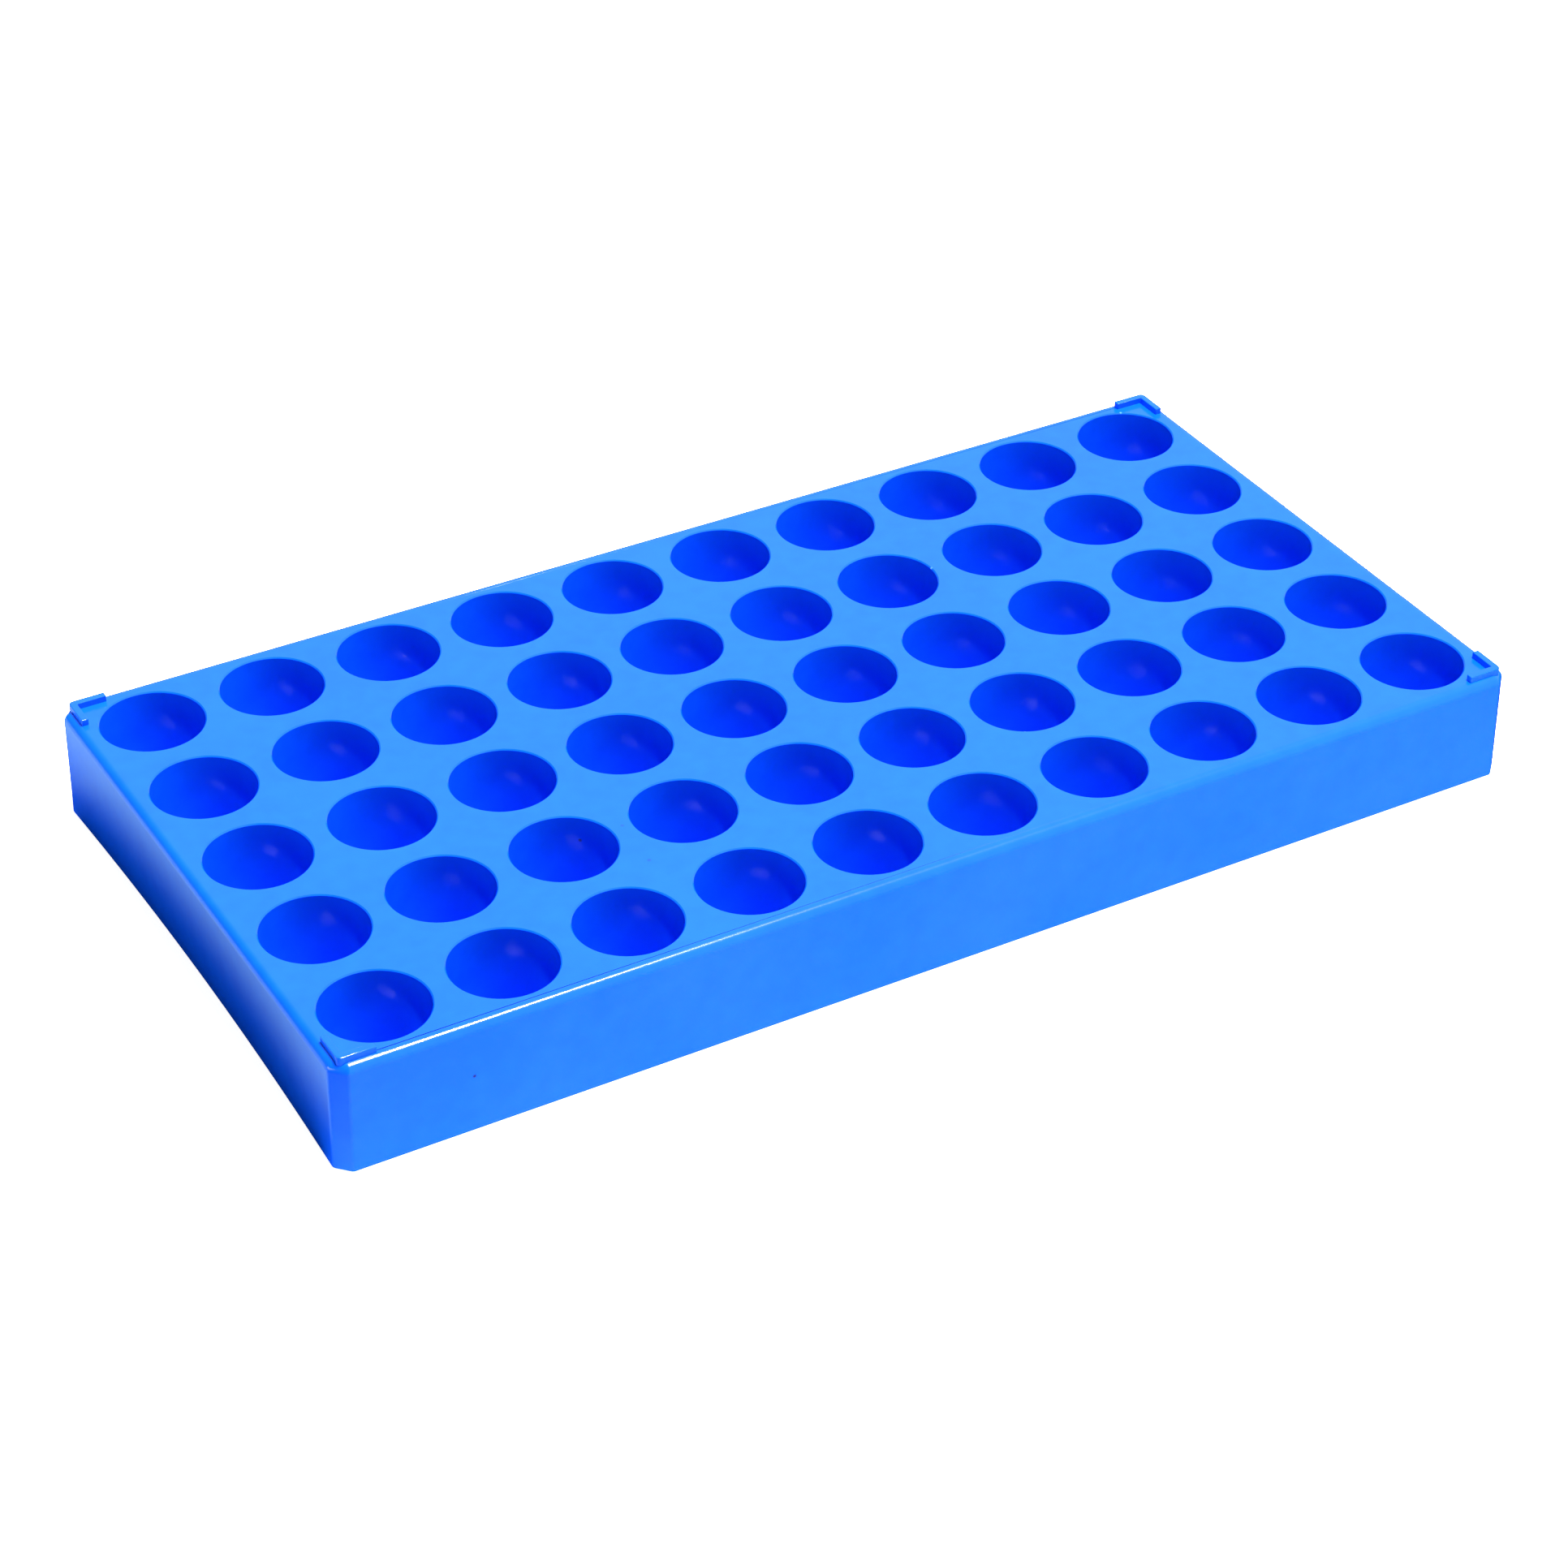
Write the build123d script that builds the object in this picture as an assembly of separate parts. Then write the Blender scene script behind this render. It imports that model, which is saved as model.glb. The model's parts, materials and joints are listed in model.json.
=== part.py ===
"""Fifty-place rack for cryogenic vials: one shallow moulding, open on top, with no lid.

The moulding is drawn here as the regions that a mould maker would name. Each well is a
solid of its own, with its share of the deck. The four walls hold the rounded edge of the
deck and the skirt below it, and four stacking ribs stand on the deck's corners.
The regions meet face to face and together make the whole rack.

Frame: origin at the middle of the footprint, on the table. X runs along the ten columns,
Y from front to rear, Z up. Millimetres.
"""
import os

from build123d import *

# ---- the wells ----
columns = 10
rows = 5
row_letters = "abcde"        # row a is at the front
well_bore = 13.0             # clear diameter, for vials 12.5 across
well_wall = 0.8              # cup wall where it leaves the deck
cup_taper = 0.2              # the cup wall is this much thinner at its foot
well_floor = 1.0
rim_radius = 0.15
floor_fillet = 0.8           # inside corner between bore and floor
cup_foot_radius = 0.5
gap_between_columns = 1.3    # between neighbouring cups
gap_between_rows = 1.6

# ---- the deck and the skirt ----
deck_height = 14.7           # deck surface above the table
deck_thickness = 1.6
skirt_thickness = 0.85
end_gap = 0.8                # between the last cups and the end walls
side_gap = 0.6               # between the last cups and the long walls
foot_gap = 1.1               # between the cups and the table
top_fillet = 1.2             # rounded edge all round the deck
corner_chamfer = 1.8         # flat on each of the four upright corners
end_flare = 0.3              # how far the end walls lean out at their lower corners
end_bow = 0.95               # how far their lower edges bow in from those corners

# ---- the stacking ribs ----
rib_height = 0.85
rib_thickness = 0.9
rib_arm = 4.7
rib_corner_radius = 0.6
stacking_clearance = 0.15    # rib to the inside of the skirt of a rack on top

# ---- worked out ----
bore_radius = well_bore / 2
cup_radius = bore_radius + well_wall
pitch_x = 2 * cup_radius + gap_between_columns
pitch_y = 2 * cup_radius + gap_between_rows
grid_x = (columns - 1) * pitch_x / 2 + cup_radius    # outer edge of the well regions
grid_y = (rows - 1) * pitch_y / 2 + cup_radius
half_length = grid_x + end_gap + skirt_thickness     # outer faces, at deck level
half_width = grid_y + side_gap + skirt_thickness
deck_underside = deck_height - deck_thickness
floor_level = foot_gap + well_floor
rib_inset = skirt_thickness + stacking_clearance
past = 1.0                   # how far a cutter runs past what it cuts


def slab(x_low, x_high, y_low, y_high, z_low, z_high):
    """A box given by its two corners."""
    middle = ((x_low + x_high) / 2, (y_low + y_high) / 2, (z_low + z_high) / 2)
    return Pos(*middle) * Box(x_high - x_low, y_high - y_low, z_high - z_low)


def cup_outside():
    """The outside of one cup: a cone that narrows to its rounded foot."""
    foot = (cup_radius - cup_taper, foot_gap)
    with BuildPart() as cup:
        with BuildSketch(Plane.XZ) as section:
            with BuildLine():
                Polyline(
                    (0, foot_gap),
                    foot,
                    (cup_radius, deck_underside),
                    (cup_radius, deck_height),
                    (0, deck_height),
                    close=True,
                )
            make_face()
            fillet(section.vertices().sort_by_distance((foot[0], 0, foot[1]))[0], cup_foot_radius)
        revolve(axis=Axis.Z)
    return cup.part


def bore_space():
    """The air in one well: straight bore, filleted floor and a rounded rim at the deck."""
    with BuildPart() as space:
        with BuildSketch(Plane.XZ):
            with BuildLine():
                Line((0, floor_level), (bore_radius - floor_fillet, floor_level))
                CenterArc((bore_radius - floor_fillet, floor_level + floor_fillet), floor_fillet, -90, 90)
                Line((bore_radius, floor_level + floor_fillet), (bore_radius, deck_height - rim_radius))
                CenterArc((bore_radius + rim_radius, deck_height - rim_radius), rim_radius, 180, -90)
                Polyline(
                    (bore_radius + rim_radius, deck_height),
                    (bore_radius + rim_radius, deck_height + past),
                    (0, deck_height + past),
                    (0, floor_level),
                )
            make_face()
        revolve(axis=Axis.Z)
    return space.part


def reach(index, count, pitch):
    """How far one well's share of the deck runs to each side of its centre.

    Neighbours meet half way; at the edge of the grid the share stops at the cup.
    """
    low = cup_radius if index == 0 else pitch / 2
    high = cup_radius if index == count - 1 else pitch / 2
    return low, high


def well(column, row, cup, space):
    """One well with its share of the deck."""
    x = (column - (columns - 1) / 2) * pitch_x
    y = (row - (rows - 1) / 2) * pitch_y
    left, right = reach(column, columns, pitch_x)
    front, rear = reach(row, rows, pitch_y)
    tile = slab(x - left, x + right, y - front, y + rear, deck_underside, deck_height)
    return tile + Pos(x, y, 0) * cup - Pos(x, y, 0) * space


def outline(level, inset, flare, bow):
    """Plan outline of the rack at one level, moved in by inset.

    The ends are arcs where bow is given. The flats on the corners move in with the faces
    beside them, so the wall behind them stays as thick as it is elsewhere.
    """
    x = half_length + flare - inset
    y = half_width - inset
    flat = corner_chamfer - inset * (2 - 2 ** 0.5)
    with BuildSketch(Plane.XY.offset(level)) as sketch:
        with BuildLine():
            for side in (-1, 1):
                Line((flat - x, side * y), (x - flat, side * y))
                Line((side * (x - flat), -y), (side * x, flat - y))
                Line((side * (x - flat), y), (side * x, y - flat))
                if bow:
                    ThreePointArc((side * x, flat - y), (side * (x - bow), 0), (side * x, y - flat))
                else:
                    Line((side * x, flat - y), (side * x, y - flat))
        make_face()
    return sketch.sketch


def body_between(inset):
    """The solid from table to deck inside the outline moved in by inset."""
    foot = outline(0, inset, end_flare, end_bow)
    top = outline(deck_height, inset, 0, 0)
    return loft([foot, top], ruled=True)


def perimeter():
    """Skirt and outer strip of the deck, all round, with the rounded top edge."""
    block = body_between(0)
    block = fillet(block.edges().group_by(Axis.Z)[-1], top_fillet)
    room = slab(-half_length, half_length, -half_width, half_width, 0, deck_underside)
    window = slab(-grid_x, grid_x, -grid_y, grid_y, deck_underside - past, deck_height + past)
    return block - (body_between(skirt_thickness) & room) - window


def quadrant(side_x, side_y):
    """A prism that takes one wall out of the perimeter, cut on the corners' mitre lines.

    The mitre runs from the corner of the well grid to the outer corner at deck level.
    """
    step_x = half_length - grid_x
    step_y = half_width - grid_y
    near = -min(grid_x, grid_y) / (2 * max(step_x, step_y))
    ends = [near, 2.0 + end_flare / step_x]
    points = []
    for first, share in ((1, ends[0]), (1, ends[1]), (-1, ends[1]), (-1, ends[0])):
        if side_y:
            points.append((first * (grid_x + share * step_x), side_y * (grid_y + share * step_y)))
        else:
            points.append((side_x * (grid_x + share * step_x), first * (grid_y + share * step_y)))
    face = make_face(Polyline(*points, close=True))
    return Pos(0, 0, -past) * extrude(face, deck_height + 2 * past, dir=(0, 0, 1))


def stacking_rib(side_x, side_y, deck):
    """An L of two arms on one corner of the deck.

    Its rounded outer corner reaches down to the fillet over the flat, so the rib is drawn
    through the deck's surface and what lies in the deck is taken off.
    """
    x = half_length - rib_inset
    y = half_width - rib_inset
    with BuildSketch(Plane.XY.offset(deck_underside)) as plan:
        with BuildLine():
            Polyline(
                (x, y),
                (x, y - rib_arm),
                (x - rib_thickness, y - rib_arm),
                (x - rib_thickness, y - rib_thickness),
                (x - rib_arm, y - rib_thickness),
                (x - rib_arm, y),
                close=True,
            )
        make_face()
        fillet(plan.vertices().sort_by_distance((x, y, deck_underside))[0], rib_corner_radius)
    rib = extrude(plan.sketch, deck_thickness + rib_height)
    if side_x < 0:
        rib = mirror(rib, Plane.YZ)
    if side_y < 0:
        rib = mirror(rib, Plane.XZ)
    return rib - deck


def build():
    """Every named region of the rack."""
    nodes = {}
    cup = cup_outside()
    space = bore_space()
    for row in range(rows):
        for column in range(columns):
            nodes[f"well_{row_letters[row]}{column + 1}"] = well(column, row, cup, space)
    ring = perimeter()
    nodes["front_wall"] = ring & quadrant(0, -1)
    nodes["rear_wall"] = ring & quadrant(0, 1)
    nodes["left_wall"] = ring & quadrant(-1, 0)
    nodes["right_wall"] = ring & quadrant(1, 0)
    deck = ring + slab(-grid_x, grid_x, -grid_y, grid_y, deck_underside, deck_height)
    nodes["stacking_rib_front_left"] = stacking_rib(-1, -1, deck)
    nodes["stacking_rib_front_right"] = stacking_rib(1, -1, deck)
    nodes["stacking_rib_rear_left"] = stacking_rib(-1, 1, deck)
    nodes["stacking_rib_rear_right"] = stacking_rib(1, 1, deck)
    return nodes


os.makedirs("parts", exist_ok=True)
for name, shape in build().items():
    export_step(shape, f"parts/{name}.step")
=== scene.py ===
"""Open moulded rack for fifty cryogenic vials, in bright blue polypropylene.

Every region of the moulding is a piece of its own, as in the CAD model: fifty wells with
their shares of the deck, four walls with the rounded deck edge, four stacking ribs.
They meet on flat faces, so the deck reads as the single moulding that it is.
Metres throughout, in the CAD model's frame.
"""
import json
import math

import bpy
from mathutils import Matrix, Quaternion, Vector


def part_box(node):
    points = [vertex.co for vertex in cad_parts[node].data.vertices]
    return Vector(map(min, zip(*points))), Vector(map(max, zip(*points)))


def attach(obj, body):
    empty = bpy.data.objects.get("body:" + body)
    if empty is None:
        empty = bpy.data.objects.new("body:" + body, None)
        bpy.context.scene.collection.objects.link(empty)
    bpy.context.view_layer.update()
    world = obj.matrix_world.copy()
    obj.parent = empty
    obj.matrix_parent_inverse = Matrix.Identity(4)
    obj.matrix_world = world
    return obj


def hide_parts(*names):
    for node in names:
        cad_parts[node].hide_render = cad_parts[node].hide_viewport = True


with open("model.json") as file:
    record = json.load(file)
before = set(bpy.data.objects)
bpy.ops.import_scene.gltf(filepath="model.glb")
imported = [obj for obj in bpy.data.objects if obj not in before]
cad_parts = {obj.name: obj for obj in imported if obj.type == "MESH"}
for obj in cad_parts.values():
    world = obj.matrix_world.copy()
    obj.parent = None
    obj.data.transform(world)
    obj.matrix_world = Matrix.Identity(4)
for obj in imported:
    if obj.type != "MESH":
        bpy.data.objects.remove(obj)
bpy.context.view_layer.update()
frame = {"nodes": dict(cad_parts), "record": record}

MM = 0.001

# ---- sizes that the mould gives, beyond what the CAD boxes tell ----
DECK_THICKNESS = 1.6 * MM
SKIRT_THICKNESS = 0.85 * MM
TOP_FILLET = 1.2 * MM
CORNER_CHAMFER = 1.8 * MM
CORNER_SOFTENING = 0.25 * MM     # the upright edges of the corner flats
END_FLARE = 0.3 * MM             # the ends lean out this far at their lower corners
END_BOW = 0.95 * MM              # their lower edges bow in this far from those corners
FOOT_EDGE = 0.2 * MM             # softened lower edge of the skirt
RIM_RADIUS = 0.15 * MM
FLOOR_FILLET = 0.8 * MM
CUP_WALL = 0.8 * MM
CUP_TAPER = 0.2 * MM
CUP_FOOT_RADIUS = 0.5 * MM
GATE_RADIUS = 0.6 * MM           # stub left where the plastic came in, under each cup
GATE_HEIGHT = 0.25 * MM
GATE_SPREAD = 1.15               # the stub is this many times as wide at its root
DIMPLE_RADIUS = 2.2 * MM
DIMPLE_DEPTH = 0.35 * MM
RIB_THICKNESS = 0.9 * MM
RIB_ARM = 4.7 * MM
RIB_CORNER = 0.6 * MM            # radius of a rib's outer upright corner
RIB_EDGE = 0.12 * MM             # rounding of a rib's other edges
RIB_ROOT = 0.4 * MM              # how far a rib runs down into the deck

# ---- the plastic: colours, and how fine its unevenness is ----
BLUE_LOW = (0.0008, 0.064, 0.65)
BLUE_HIGH = (0.0014, 0.072, 0.68)
DUST = (0.004, 0.052, 0.45)
GRAIN_SCALE = 2200.0
MOTTLE_SCALE = 420.0
CLOUD_SCALE = 45.0
DUST_SCALE = 160.0
DUST_SIZE = 0.06                 # radius of a dust speck, as a share of its cell
DUST_CORE = 0.5                  # share of a speck's radius that is solid
DUST_FROM = 0.98                 # a cell whose lot, from 0 to 1, is below this has no speck
DUST_FULL = 0.985                # and from here on it has a full one
TONE_SPAN = (0.75, 1.25)         # the noise that takes the blue from low to high
GLOSS_SPAN = (0.7, 1.3)          # the noise that takes the roughness from low to high
ROUGHNESS_LOW = 0.12
ROUGHNESS_HIGH = 0.16
BUMP_STRENGTH = 0.05
BUMP_DEPTH = 0.02 * MM
REFRACTION = 1.49                # index of polypropylene

# ---- single marks in the plastic: place and radius in millimetres, colour ----
PALE = (0.06, 0.20, 0.60)
DARK = (0.008, 0.020, 0.12)
FAINT = (0.003, 0.048, 0.42)
MARKS = (
    ((74.7, 38.3, 14.7), 0.22, PALE),        # pale fleck by the rear right corner well
    ((-63.8, -41.15, 7.7), 0.30, DARK),      # dark speck in the front wall
    ((30.45, 16.2, 14.6), 0.22, PALE),       # nicks on the rims of two wells
    ((20.6, -21.9, 14.6), 0.22, PALE),
    ((-32.1, -23.1, 14.7), 0.35, FAINT),     # smudges on the deck and in a well
    ((-31.6, -15.4, 14.7), 0.30, FAINT),
    ((-35.3, -11.5, 11.4), 0.30, DARK),
)
MARK_CORE = 0.4                  # share of a mark's radius that has its full colour

# ---- the floor, as the camera and as the rack see it ----
WHITE = (0.92, 0.92, 0.92)
# painted reflection and shade: the floor the plastic mirrors is nearly black, darker by the left end, and
# blue-grey past it, a painted grey sheen high on the left wall
NEARLY_BLACK = (0.01, 0.01, 0.01)
PAINTED_SHEEN_BLUE_GREY = (0.17, 0.32, 0.33)
FLOOR_GLOW = 0.85                # lifts the floor to white for the camera
FLOOR_BOUNCE = 6.0               # brightness of the floor in front, as it lights the rack
BOUNCE_BEHIND = 0.5              # the same for the floor behind, as a share of that in front
BOUNCE_FAR_LEFT = 0.1            # and for the floor in front, well to the left of the rack
BOUNCE_FADE = 30 * MM            # over this length it falls to that share
PAINTED_SHADE_REACH = 1.5 * MM       # painted shade: past the left end the mirrored floor stays dark up to here
PAINTED_SHEEN_FROM = 8 * MM         # painted sheen: and has its full blue-grey from here on
SOFT_STEP = 5 * MM               # strip under the rack's long edges where the bounce fades out
FLOOR_SIZE = 6

# ---- the dome: brightness by direction along X, from -1 at the left to 1 at the right ----
DOME_DARK = 0.06
DOME_BRIGHT = 0.70
DOME_DARK_TO = -0.4
DOME_BRIGHT_FROM = 0.45

# ---- how finely round shapes are cut ----
ROUND_STEPS = 64
FILLET_STEPS = 10
BOW_STEPS = 24
RIM_STEPS = 1
FLOOR_FILLET_STEPS = 6
CUP_FOOT_STEPS = 5
DIMPLE_STEPS = 3
RIB_CORNER_STEPS = 5
SMALL_EDGE_STEPS = 3
SMOOTH_ANGLE = math.radians(35)  # edges flatter than this are shaded smooth
SHARP_ANGLE = math.radians(50)   # edges of a rib sharper than this are rounded
FLAT_FACE_WEIGHT = 80            # how strongly large faces set the shading beside them

# ---- working allowances ----
SAME_PLACE = 1e-6                # two vertices nearer than this are one
ON_LINE = 0.02 * MM              # a vertex this near to a line is on it
OVERSHOOT = 2 * MM               # how far a cutter runs past what it cuts
OUTER_REACH = 3 * MM             # the lean takes in the outside's vertices this near to an end
INNER_REACH = 4 * MM             # and the inside's vertices this near to it
FACING = 0.9                     # a face whose normal has this much of an axis looks along it

mounts = {m["name"]: m for m in frame["record"]["mounts"]}
wells = [name for name in frame["nodes"] if name.startswith("well_")]


def corners(node):
    """A CAD node's lowest and highest corners as vectors."""
    low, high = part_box(node)
    return Vector(low), Vector(high)


deck_level = corners(wells[0])[1].z
half_length = corners("right_wall")[1].x - END_FLARE
half_width = corners("rear_wall")[1].y
grid_x = max(corners(name)[1].x for name in wells)
grid_y = max(corners(name)[1].y for name in wells)


# ---------------------------------------------------------------- modelling helpers

def nothing_selected():
    """Leave edit mode with no object selected."""
    if bpy.context.object and bpy.context.object.mode != "OBJECT":
        bpy.ops.object.mode_set(mode="OBJECT")
    bpy.ops.object.select_all(action="DESELECT")


def work_on(piece):
    """Make one piece the only selected and active object."""
    nothing_selected()
    piece.select_set(True)
    bpy.context.view_layer.objects.active = piece


def pick(piece, kind, test):
    """In edit mode, select only the faces, edges or vertices that pass the test.

    Edges are tested by their two ends, faces and vertices by themselves.
    """
    bpy.ops.mesh.select_mode(type=kind)
    bpy.ops.mesh.select_all(action="DESELECT")
    bpy.ops.object.mode_set(mode="OBJECT")
    mesh = piece.data
    if kind == "EDGE":
        for edge in mesh.edges:
            edge.select = test(*(mesh.vertices[i].co for i in edge.vertices))
    else:
        for item in mesh.polygons if kind == "FACE" else mesh.vertices:
            item.select = test(item)
    bpy.ops.object.mode_set(mode="EDIT")


def new_block(name, low, high):
    """A block between two corners, its object left at the origin."""
    nothing_selected()
    bpy.ops.mesh.primitive_cube_add(size=1, location=(0, 0, 0))
    piece = bpy.context.object
    piece.name = name
    piece.data.name = name
    low, high = Vector(low), Vector(high)
    bpy.ops.object.mode_set(mode="EDIT")
    bpy.ops.transform.resize(value=high - low)
    bpy.ops.transform.translate(value=(low + high) / 2)
    return piece


def copied(piece, name, offset=(0, 0, 0)):
    """A copy with a mesh of its own, moved inside that mesh."""
    other = piece.copy()
    other.data = piece.data.copy()
    other.name = name
    other.data.name = name
    other.data.transform(Matrix.Translation(offset))
    bpy.context.collection.objects.link(other)
    return other


def cut_away(point, normal):
    """In edit mode, remove all on the normal's side of a plane and close the cut."""
    bpy.ops.mesh.select_all(action="SELECT")
    bpy.ops.mesh.bisect(
        plane_co=point, plane_no=normal, use_fill=True, clear_outer=True, threshold=SAME_PLACE
    )


def apply_modifier(piece, kind, **settings):
    """Add one modifier with its settings and apply it."""
    work_on(piece)
    modifier = piece.modifiers.new(kind.lower(), kind)
    for key, value in settings.items():
        setattr(modifier, key, value)
    bpy.ops.object.modifier_apply(modifier=modifier.name)


def shade(piece):
    """Smooth shading that keeps flat faces flat right up to their rounded edges."""
    work_on(piece)
    bpy.ops.object.shade_smooth_by_angle(angle=SMOOTH_ANGLE)
    apply_modifier(piece, "WEIGHTED_NORMAL", keep_sharp=True, weight=FLAT_FACE_WEIGHT)


def arc(centre, radius, start, end, steps):
    """Points of a round stretch in the profile plane, angles in degrees."""
    angles = [math.radians(start + (end - start) * i / steps) for i in range(steps + 1)]
    return [(centre[0] + radius * math.cos(a), centre[1] + radius * math.sin(a)) for a in angles]


# ---------------------------------------------------------------- the wells

def well_profile(bore, floor, foot, spread):
    """Half section of a well, from the middle of its floor round to the gate stub."""
    underside = deck_level - DECK_THICKNESS
    cup = bore + CUP_WALL
    narrow = cup - CUP_TAPER
    fillet_centre = (bore - FLOOR_FILLET, floor + FLOOR_FILLET)
    rim_centre = (bore + RIM_RADIUS, deck_level - RIM_RADIUS)
    foot_centre = (narrow - CUP_FOOT_RADIUS, foot + CUP_FOOT_RADIUS)
    dimple_top = foot + DIMPLE_DEPTH
    gate_end = dimple_top - GATE_HEIGHT
    points = [(0, floor), ((bore - FLOOR_FILLET) / 2, floor)]
    points += arc(fillet_centre, FLOOR_FILLET, -90, 0, FLOOR_FILLET_STEPS)
    points += arc(rim_centre, RIM_RADIUS, 180, 90, RIM_STEPS)
    points += [(spread, deck_level), (spread, underside), (cup, underside)]
    points += arc(foot_centre, CUP_FOOT_RADIUS, 0, -90, CUP_FOOT_STEPS)
    points += arc((DIMPLE_RADIUS, dimple_top), DIMPLE_DEPTH, -90, -180, DIMPLE_STEPS)
    points += [(GATE_RADIUS * GATE_SPREAD, dimple_top), (GATE_RADIUS, gate_end), (0, gate_end)]
    return points


def draw_profile(name, points):
    """Pull one vertex along the points, in the XZ plane, to draw an open outline."""
    nothing_selected()
    bpy.ops.mesh.primitive_plane_add(size=MM, location=(0, 0, 0))
    piece = bpy.context.object
    piece.name = name
    bpy.ops.object.mode_set(mode="EDIT")
    bpy.ops.mesh.merge(type="CENTER")
    here = Vector((points[0][0], 0, points[0][1]))
    bpy.ops.transform.translate(value=here)
    for x, z in points[1:]:
        there = Vector((x, 0, z))
        bpy.ops.mesh.extrude_region_move(TRANSFORM_OT_translate={"value": there - here})
        here = there
    return piece


def well_pattern():
    """One well, turned from its profile, with a round share of the deck to trim later."""
    mount = mounts[wells[0] + "_bore"]
    bore = mount["dims"]["r_mm"] * MM
    wall = mount["dims"]["length_mm"] * MM
    floor = mount["pos_m"][2] - wall / 2 - FLOOR_FILLET
    foot = corners(wells[0])[0].z
    piece = draw_profile("well_pattern", well_profile(bore, floor, foot, 2 * bore))
    bpy.ops.mesh.select_all(action="SELECT")
    half_step = math.pi / ROUND_STEPS
    bpy.ops.transform.rotate(value=half_step, orient_axis="Z", center_override=(0, 0, 0))
    bpy.ops.mesh.spin(steps=ROUND_STEPS, angle=2 * math.pi, center=(0, 0, 0), axis=(0, 0, 1))
    bpy.ops.mesh.select_all(action="SELECT")
    bpy.ops.mesh.remove_doubles(threshold=SAME_PLACE)
    bpy.ops.mesh.normals_make_consistent(inside=False)
    nothing_selected()
    return piece


def make_well(node, pattern):
    """A copy of the pattern at its place, trimmed to its share of the deck."""
    low, high = corners(node)
    centre = Vector(mounts[node + "_bore"]["pos_m"])
    piece = copied(pattern, node + "_moulding", (centre.x, centre.y, 0))
    work_on(piece)
    bpy.ops.object.mode_set(mode="EDIT")
    for side, normal in ((high, (1, 0, 0)), (low, (-1, 0, 0)), (high, (0, 1, 0)), (low, (0, -1, 0))):
        cut_away(side, normal)
    nothing_selected()
    shade(piece)
    return piece


# ---------------------------------------------------------------- the walls

def lean_ends(piece, reach):
    """Flare the ends out at their lower corners and bow them in between."""
    for vertex in piece.data.vertices:
        across = vertex.co.y / half_width
        if abs(vertex.co.x) > half_length - reach:
            drop = 1 - vertex.co.z / deck_level
            shift = END_FLARE - END_BOW * (1 - across * across)
            vertex.co.x += math.copysign(1, vertex.co.x) * shift * drop


def slice_across(count):
    """In edit mode, cut the block into strips along Y, so that its ends can bow."""
    for i in range(1, count):
        y = half_width * (2 * i / count - 1)
        bpy.ops.mesh.select_all(action="SELECT")
        bpy.ops.mesh.bisect(plane_co=(0, y, 0), plane_no=(0, 1, 0), threshold=SAME_PLACE)


def upright(a, b, x, y):
    """True for an edge that stands on the given corner."""
    return all(abs(p.x - x) < SAME_PLACE and abs(p.y - y) < SAME_PLACE for p in (a, b))


def beside_flat(a, b):
    """True for the edges at the sides of the corner flats, from the table up to the deck."""
    def on_line(p):
        for depth, rest in (
            (half_length - abs(p.x), half_width - abs(p.y)),
            (half_width - abs(p.y), half_length - abs(p.x)),
        ):
            if abs(rest - CORNER_CHAMFER - depth * (math.sqrt(2) - 1)) < ON_LINE:
                return True
        return False
    return abs(a.z - b.z) > SAME_PLACE and on_line(a) and on_line(b)


def outer_block():
    """Outside of the rack: a block with flats on its corners and rounded edges."""
    x, y = half_length, half_width
    piece = new_block("outer_block", (-x, -y, 0), (x, y, deck_level))
    pick(piece, "EDGE", lambda a, b: abs(a.z - b.z) > deck_level / 2)
    bpy.ops.mesh.bevel(offset=CORNER_CHAMFER, segments=1, affect="EDGES")
    pick(piece, "EDGE", lambda a, b: min(a.z, b.z) > deck_level - SAME_PLACE)
    bpy.ops.mesh.bevel(offset=TOP_FILLET, segments=FILLET_STEPS, affect="EDGES")
    pick(piece, "EDGE", lambda a, b: max(a.z, b.z) < SAME_PLACE)
    bpy.ops.mesh.bevel(offset=FOOT_EDGE, segments=SMALL_EDGE_STEPS, affect="EDGES")
    pick(piece, "EDGE", beside_flat)
    bpy.ops.mesh.bevel(offset=CORNER_SOFTENING, segments=SMALL_EDGE_STEPS, affect="EDGES")
    slice_across(BOW_STEPS)
    bpy.ops.object.mode_set(mode="OBJECT")
    lean_ends(piece, OUTER_REACH)
    return piece


def inner_block():
    """The room inside the skirt, to be taken out of the outside."""
    x = half_length - SKIRT_THICKNESS
    y = half_width - SKIRT_THICKNESS
    flat = CORNER_CHAMFER - SKIRT_THICKNESS * (2 - math.sqrt(2))
    piece = new_block("inner_block", (-x, -y, -OVERSHOOT), (x, y, deck_level - DECK_THICKNESS))
    pick(piece, "EDGE", lambda a, b: abs(a.z - b.z) > deck_level / 2)
    bpy.ops.mesh.bevel(offset=flat, segments=1, affect="EDGES")
    slice_across(BOW_STEPS)
    bpy.ops.object.mode_set(mode="OBJECT")
    lean_ends(piece, INNER_REACH)
    return piece


def perimeter():
    """Skirt and deck edge all round, before it is parted into four walls."""
    ring = outer_block()
    room = inner_block()
    low, high = (-grid_x, -grid_y, deck_level / 2), (grid_x, grid_y, deck_level + OVERSHOOT)
    window = new_block("window", low, high)
    for cutter in (room, window):
        apply_modifier(ring, "BOOLEAN", operation="DIFFERENCE", solver="EXACT", object=cutter)
        bpy.data.objects.remove(cutter)
    work_on(ring)
    bpy.ops.object.mode_set(mode="EDIT")
    bpy.ops.mesh.select_all(action="SELECT")
    bpy.ops.mesh.remove_doubles(threshold=SAME_PLACE)
    nothing_selected()
    return ring


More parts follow.
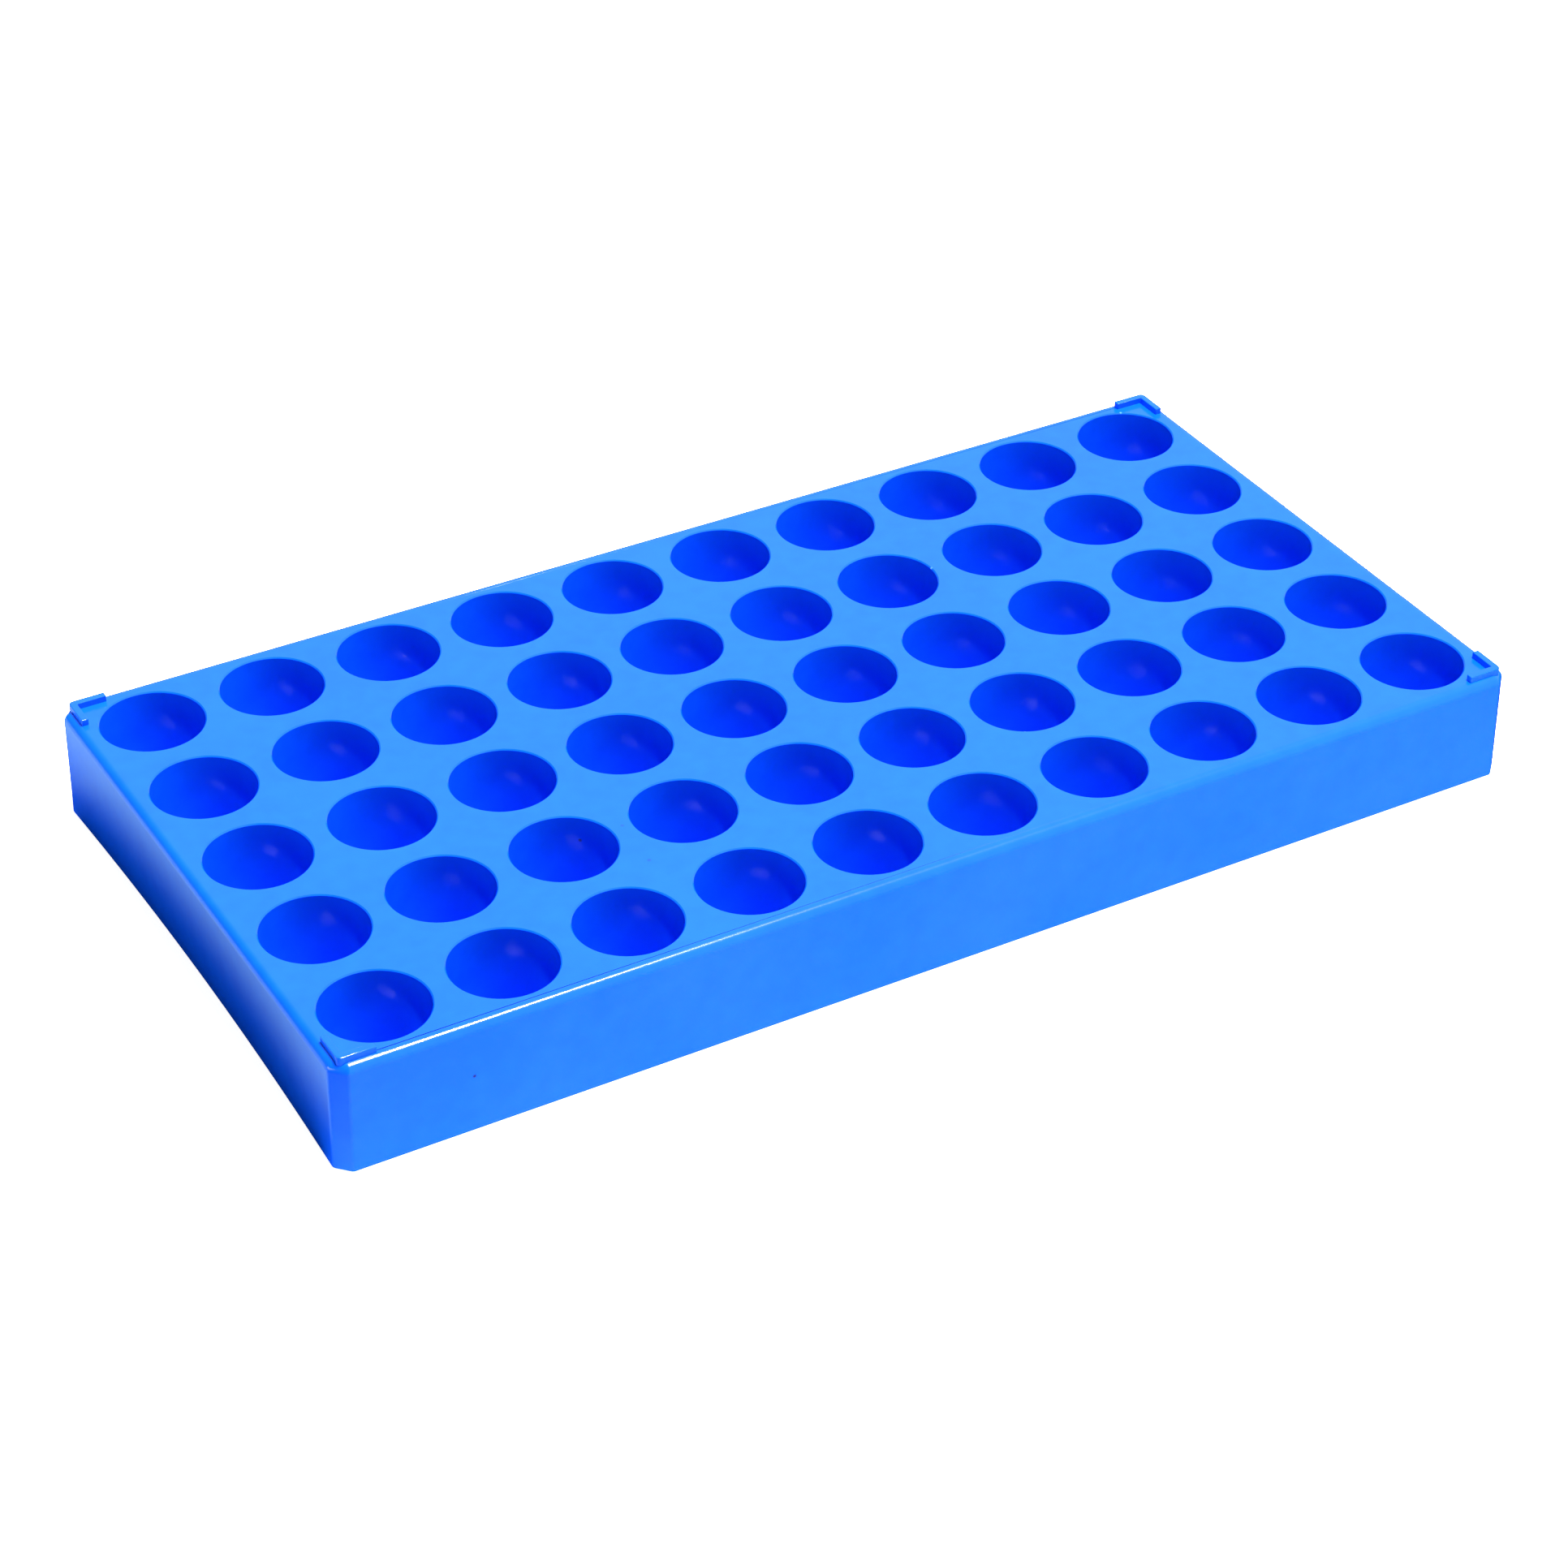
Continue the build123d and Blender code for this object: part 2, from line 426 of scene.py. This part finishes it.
def make_wall(ring, node, side_x, side_y):
    """One wall: a copy of the ring, cut on the mitres at its two ends."""
    piece = copied(ring, node + "_moulding")
    along = Vector((half_length - grid_x, half_width - grid_y, 0))
    work_on(piece)
    bpy.ops.object.mode_set(mode="EDIT")
    for end in (-1, 1):
        if side_y:
            corner = Vector((end * half_length, side_y * half_width, 0))
            normal = Vector((end * along.y, -side_y * along.x, 0))
        else:
            corner = Vector((side_x * half_length, end * half_width, 0))
            normal = Vector((-side_x * along.y, end * along.x, 0))
        cut_away(corner, normal)
    if side_y:
        cut_away((0, 0, 0), (0, -side_y, 0))
    else:
        cut_away((0, 0, 0), (-side_x, 0, 0))
    nothing_selected()
    shade(piece)
    return piece


# ---------------------------------------------------------------- the stacking ribs

def make_rib(node, side_x, side_y):
    """An L on a corner of the deck: a post pulled out into two arms, all edges softened."""
    low, high = corners(node)
    x = high.x if side_x > 0 else low.x
    y = high.y if side_y > 0 else low.y
    inner_x, inner_y = x - side_x * RIB_THICKNESS, y - side_y * RIB_THICKNESS
    foot = deck_level - RIB_ROOT
    piece = new_block(
        node + "_moulding",
        (min(x, inner_x), min(y, inner_y), foot),
        (max(x, inner_x), max(y, inner_y), high.z),
    )
    arm = RIB_ARM - RIB_THICKNESS
    pick(piece, "FACE", lambda f: f.normal.x * side_x < -FACING)
    bpy.ops.mesh.extrude_region_move(TRANSFORM_OT_translate={"value": (-side_x * arm, 0, 0)})
    post_middle = (x + inner_x) / 2
    pick(
        piece, "FACE",
        lambda f: f.normal.y * side_y < -FACING and abs(f.center.x - post_middle) < RIB_THICKNESS / 4,
    )
    bpy.ops.mesh.extrude_region_move(TRANSFORM_OT_translate={"value": (0, -side_y * arm, 0)})
    pick(piece, "EDGE", lambda a, b: upright(a, b, x, y))
    bpy.ops.mesh.bevel(offset=RIB_CORNER, segments=RIB_CORNER_STEPS, affect="EDGES")
    bpy.ops.object.mode_set(mode="OBJECT")
    apply_modifier(
        piece, "BEVEL", width=RIB_EDGE, segments=SMALL_EDGE_STEPS,
        limit_method="ANGLE", angle_limit=SHARP_ANGLE,
    )
    shade(piece)
    return piece


# ---------------------------------------------------------------- the plastic

def noise(tree, place, scale, detail, roughness):
    """A noise texture read at place."""
    node = tree.nodes.new("ShaderNodeTexNoise")
    node.inputs["Scale"].default_value = scale
    node.inputs["Detail"].default_value = detail
    node.inputs["Roughness"].default_value = roughness
    tree.links.new(place, node.inputs["Vector"])
    return node.outputs["Fac"]


def ranged(tree, value, from_low, from_high, to_low, to_high, smooth=False):
    """A value mapped from one range to another, clamped."""
    node = tree.nodes.new("ShaderNodeMapRange")
    node.interpolation_type = "SMOOTHSTEP" if smooth else "LINEAR"
    for label, number in (
        ("From Min", from_low),
        ("From Max", from_high),
        ("To Min", to_low),
        ("To Max", to_high),
    ):
        node.inputs[label].default_value = number
    tree.links.new(value, node.inputs["Value"])
    return node.outputs["Result"]


def combined(tree, *values, operation="ADD"):
    """Values joined one after another by the same arithmetic operation."""
    total = values[0]
    for value in values[1:]:
        node = tree.nodes.new("ShaderNodeMath")
        node.operation = operation
        tree.links.new(total, node.inputs[0])
        if isinstance(value, float):
            node.inputs[1].default_value = value
        else:
            tree.links.new(value, node.inputs[1])
        total = node.outputs[0]
    return total


def blend_colours(tree, share, low, high):
    """A mix of two colours; either may be a plain RGB triple or a socket."""
    node = tree.nodes.new("ShaderNodeMix")
    node.data_type = "RGBA"
    for slot, colour in ((6, low), (7, high)):
        if isinstance(colour, tuple):
            node.inputs[slot].default_value = (*colour, 1)
        else:
            tree.links.new(colour, node.inputs[slot])
    tree.links.new(share, node.inputs["Factor"])
    return node.outputs[2]


def near_point(tree, place, point, radius):
    """A soft spot: 1 at the point, 0 from the radius outwards."""
    node = tree.nodes.new("ShaderNodeVectorMath")
    node.operation = "DISTANCE"
    tree.links.new(place, node.inputs[0])
    node.inputs[1].default_value = [c * MM for c in point]
    return ranged(tree, node.outputs["Value"], radius * MM * MARK_CORE, radius * MM, 1.0, 0.0, smooth=True)


def rare_specks(tree, place, scale, size):
    """Tiny specks: the middles of a few cells of a coarse cell pattern."""
    cells = tree.nodes.new("ShaderNodeTexVoronoi")
    cells.inputs["Scale"].default_value = scale
    tree.links.new(place, cells.inputs["Vector"])
    lot = tree.nodes.new("ShaderNodeSeparateColor")
    tree.links.new(cells.outputs["Color"], lot.inputs["Color"])
    chosen = ranged(tree, lot.outputs["Red"], DUST_FROM, DUST_FULL, 0.0, 1.0)
    spot = ranged(tree, cells.outputs["Distance"], size * DUST_CORE, size, 1.0, 0.0, smooth=True)
    return combined(tree, chosen, spot, operation="MULTIPLY")


def rack_plastic():
    """Bright blue polypropylene: glossy, finely grained, a little cloudy, with tiny marks."""
    material = bpy.data.materials.new("rack_plastic_blue")
    material.use_nodes = True
    tree = material.node_tree
    shader = tree.nodes["Principled BSDF"]
    place = tree.nodes.new("ShaderNodeTexCoord").outputs["Object"]

    grain = noise(tree, place, GRAIN_SCALE, detail=3.0, roughness=0.6)
    mottle = noise(tree, place, MOTTLE_SCALE, detail=2.0, roughness=0.5)
    cloud = noise(tree, place, CLOUD_SCALE, detail=3.0, roughness=0.55)

    tone = ranged(tree, combined(tree, cloud, mottle), *TONE_SPAN, 0.0, 1.0)
    colour = blend_colours(tree, tone, BLUE_LOW, BLUE_HIGH)
    dust = rare_specks(tree, place, DUST_SCALE, DUST_SIZE)
    colour = blend_colours(tree, dust, colour, DUST)
    for point, radius, tint in MARKS:
        colour = blend_colours(tree, near_point(tree, place, point, radius), colour, tint)
    tree.links.new(colour, shader.inputs["Base Color"])

    gloss = ranged(tree, combined(tree, cloud, grain), *GLOSS_SPAN, ROUGHNESS_LOW, ROUGHNESS_HIGH)
    tree.links.new(gloss, shader.inputs["Roughness"])

    bump = tree.nodes.new("ShaderNodeBump")
    bump.inputs["Strength"].default_value = BUMP_STRENGTH
    bump.inputs["Distance"].default_value = BUMP_DEPTH
    tree.links.new(combined(tree, grain, mottle), bump.inputs["Height"])
    tree.links.new(bump.outputs["Normal"], shader.inputs["Normal"])
    shader.inputs["IOR"].default_value = REFRACTION
    return material


def dress(piece, node, material):
    """Give a piece its plastic, and let it stand for its CAD node."""
    piece.data.materials.clear()
    piece.data.materials.append(material)
    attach(piece, "root")
    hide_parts(node)


# ---------------------------------------------------------------- the studio

def studio_floor():
    """A wide floor, white to the camera.

    The long walls are lit from below by the floor in front and, half as much, behind, where the
    floor glows for diffuse rays. In the plastic the mirrored floor is nearly black, a painted dark
    reflection and painted shade, and a dull blue-grey past the left end, a painted sheen on the left wall.
    """
    nothing_selected()
    bpy.ops.mesh.primitive_plane_add(size=FLOOR_SIZE, location=(0, 0, 0))
    floor = bpy.context.object
    floor.name = "studio_floor"
    material = bpy.data.materials.new("pale_floor")
    material.use_nodes = True
    tree = material.node_tree
    shader = tree.nodes["Principled BSDF"]
    rays = tree.nodes.new("ShaderNodeLightPath")
    seen = rays.outputs["Is Camera Ray"]
    place = tree.nodes.new("ShaderNodeSeparateXYZ")
    tree.links.new(tree.nodes.new("ShaderNodeTexCoord").outputs["Object"], place.inputs["Vector"])
    x, y = place.outputs["X"], place.outputs["Y"]

    front = ranged(tree, y, -half_width, -half_width + SOFT_STEP, 1.0, 0.0)
    behind = ranged(tree, y, half_width - SOFT_STEP, half_width, 0.0, BOUNCE_BEHIND)
    beside = ranged(tree, x, -half_length - PAINTED_SHEEN_FROM, -half_length - PAINTED_SHADE_REACH, 1.0, 0.0)
    faded = ranged(tree, x, -half_length - BOUNCE_FADE, -half_length, BOUNCE_FAR_LEFT, 1.0)

    # painted shade and sheen: nearly black, darkening towards the left end and blue-grey past it; nearly
    # black in front
    painted_mirror_colour = blend_colours(tree, beside, NEARLY_BLACK, PAINTED_SHEEN_BLUE_GREY)
    painted_mirror_colour = blend_colours(tree, front, painted_mirror_colour, NEARLY_BLACK)
    tree.links.new(blend_colours(tree, seen, painted_mirror_colour, WHITE), shader.inputs["Base Color"])

    sides = combined(tree, combined(tree, front, faded, operation="MULTIPLY"), behind)
    bounce = combined(tree, rays.outputs["Is Diffuse Ray"], sides, FLOOR_BOUNCE, operation="MULTIPLY")
    glow = combined(tree, combined(tree, seen, FLOOR_GLOW, operation="MULTIPLY"), bounce)
    tree.links.new(glow, shader.inputs["Emission Strength"])
    material.cycles.emission_sampling = "NONE"
    shader.inputs["Emission Color"].default_value = (1, 1, 1, 1)
    shader.inputs["Roughness"].default_value = 0.9
    shader.inputs["Specular IOR Level"].default_value = 0.0
    floor.data.materials.append(material)


def softbox(name, direction, distance, width, depth, brightness, shape="RECTANGLE"):
    """A lamp that looks at the rack from the given direction.

    The brightness is that of a rectangle's face. A disc has a smaller face for the same
    power, so its face is brighter than the figure.
    """
    lamp = bpy.data.lights.new(name, "AREA")
    lamp.shape = shape
    lamp.size = width
    lamp.size_y = depth
    lamp.energy = brightness * math.pi * width * depth
    holder = bpy.data.objects.new(name, lamp)
    toward = Vector(direction).normalized()
    holder.location = toward * distance
    holder.rotation_euler = toward.to_track_quat("Z", "Y").to_euler()
    bpy.context.collection.objects.link(holder)


def studio_light():
    """A dome that darkens to the left, a bright round lamp overhead and a low fill."""
    world = bpy.data.worlds.new("studio")
    bpy.context.scene.world = world
    world.use_nodes = True
    tree = world.node_tree
    facing = tree.nodes.new("ShaderNodeTexCoord").outputs["Generated"]
    parts = tree.nodes.new("ShaderNodeSeparateXYZ")
    tree.links.new(facing, parts.inputs["Vector"])
    dome = ranged(
        tree, parts.outputs["X"], DOME_DARK_TO, DOME_BRIGHT_FROM, DOME_DARK, DOME_BRIGHT, smooth=True
    )
    tree.links.new(dome, tree.nodes["Background"].inputs["Strength"])
    tree.nodes["Background"].inputs["Color"].default_value = (1, 1, 1, 1)
    softbox(
        "overhead_disc", direction=(0.15, -0.12, 0.98), distance=1.3,
        width=0.45, depth=0.45, brightness=114.0, shape="DISK",
    )
    softbox(
        "fill_box", direction=(-0.95, 0.05, 0.20), distance=1.4,
        width=1.2, depth=0.4, brightness=4.5,
    )
    bpy.context.scene.view_settings.view_transform = "Standard"


def camera():
    """A long lens above the front left corner."""
    azimuth, elevation, roll = map(math.radians, (-29.77, 34.83, 0.254))
    aim = Vector((-10.7, -17.3, 14.7)) * MM
    distance = 472.3 * MM
    back = Vector((
        math.sin(azimuth) * math.cos(elevation),
        -math.cos(azimuth) * math.cos(elevation),
        math.sin(elevation),
    ))
    lens = bpy.data.cameras.new("camera")
    lens.sensor_width = 36
    lens.lens = 90.39
    lens.clip_start = 0.01
    holder = bpy.data.objects.new("camera", lens)
    holder.location = aim + back * distance
    holder.rotation_mode = "QUATERNION"
    holder.rotation_quaternion = (-back).to_track_quat("-Z", "Y") @ Quaternion((0, 0, 1), roll)
    bpy.context.collection.objects.link(holder)
    bpy.context.scene.camera = holder


# ---------------------------------------------------------------- putting it together

def build_rack():
    """All pieces of the rack in their plastic."""
    plastic = rack_plastic()
    pattern = well_pattern()
    for node in wells:
        dress(make_well(node, pattern), node, plastic)
    bpy.data.objects.remove(pattern)
    ring = perimeter()
    for node, side_x, side_y in (
        ("front_wall", 0, -1),
        ("rear_wall", 0, 1),
        ("left_wall", -1, 0),
        ("right_wall", 1, 0),
    ):
        dress(make_wall(ring, node, side_x, side_y), node, plastic)
    bpy.data.objects.remove(ring)
    for end, side_y in (("front", -1), ("rear", 1)):
        for hand, side_x in (("left", -1), ("right", 1)):
            node = f"stacking_rib_{end}_{hand}"
            dress(make_rib(node, side_x, side_y), node, plastic)


camera()
studio_light()
studio_floor()
build_rack()
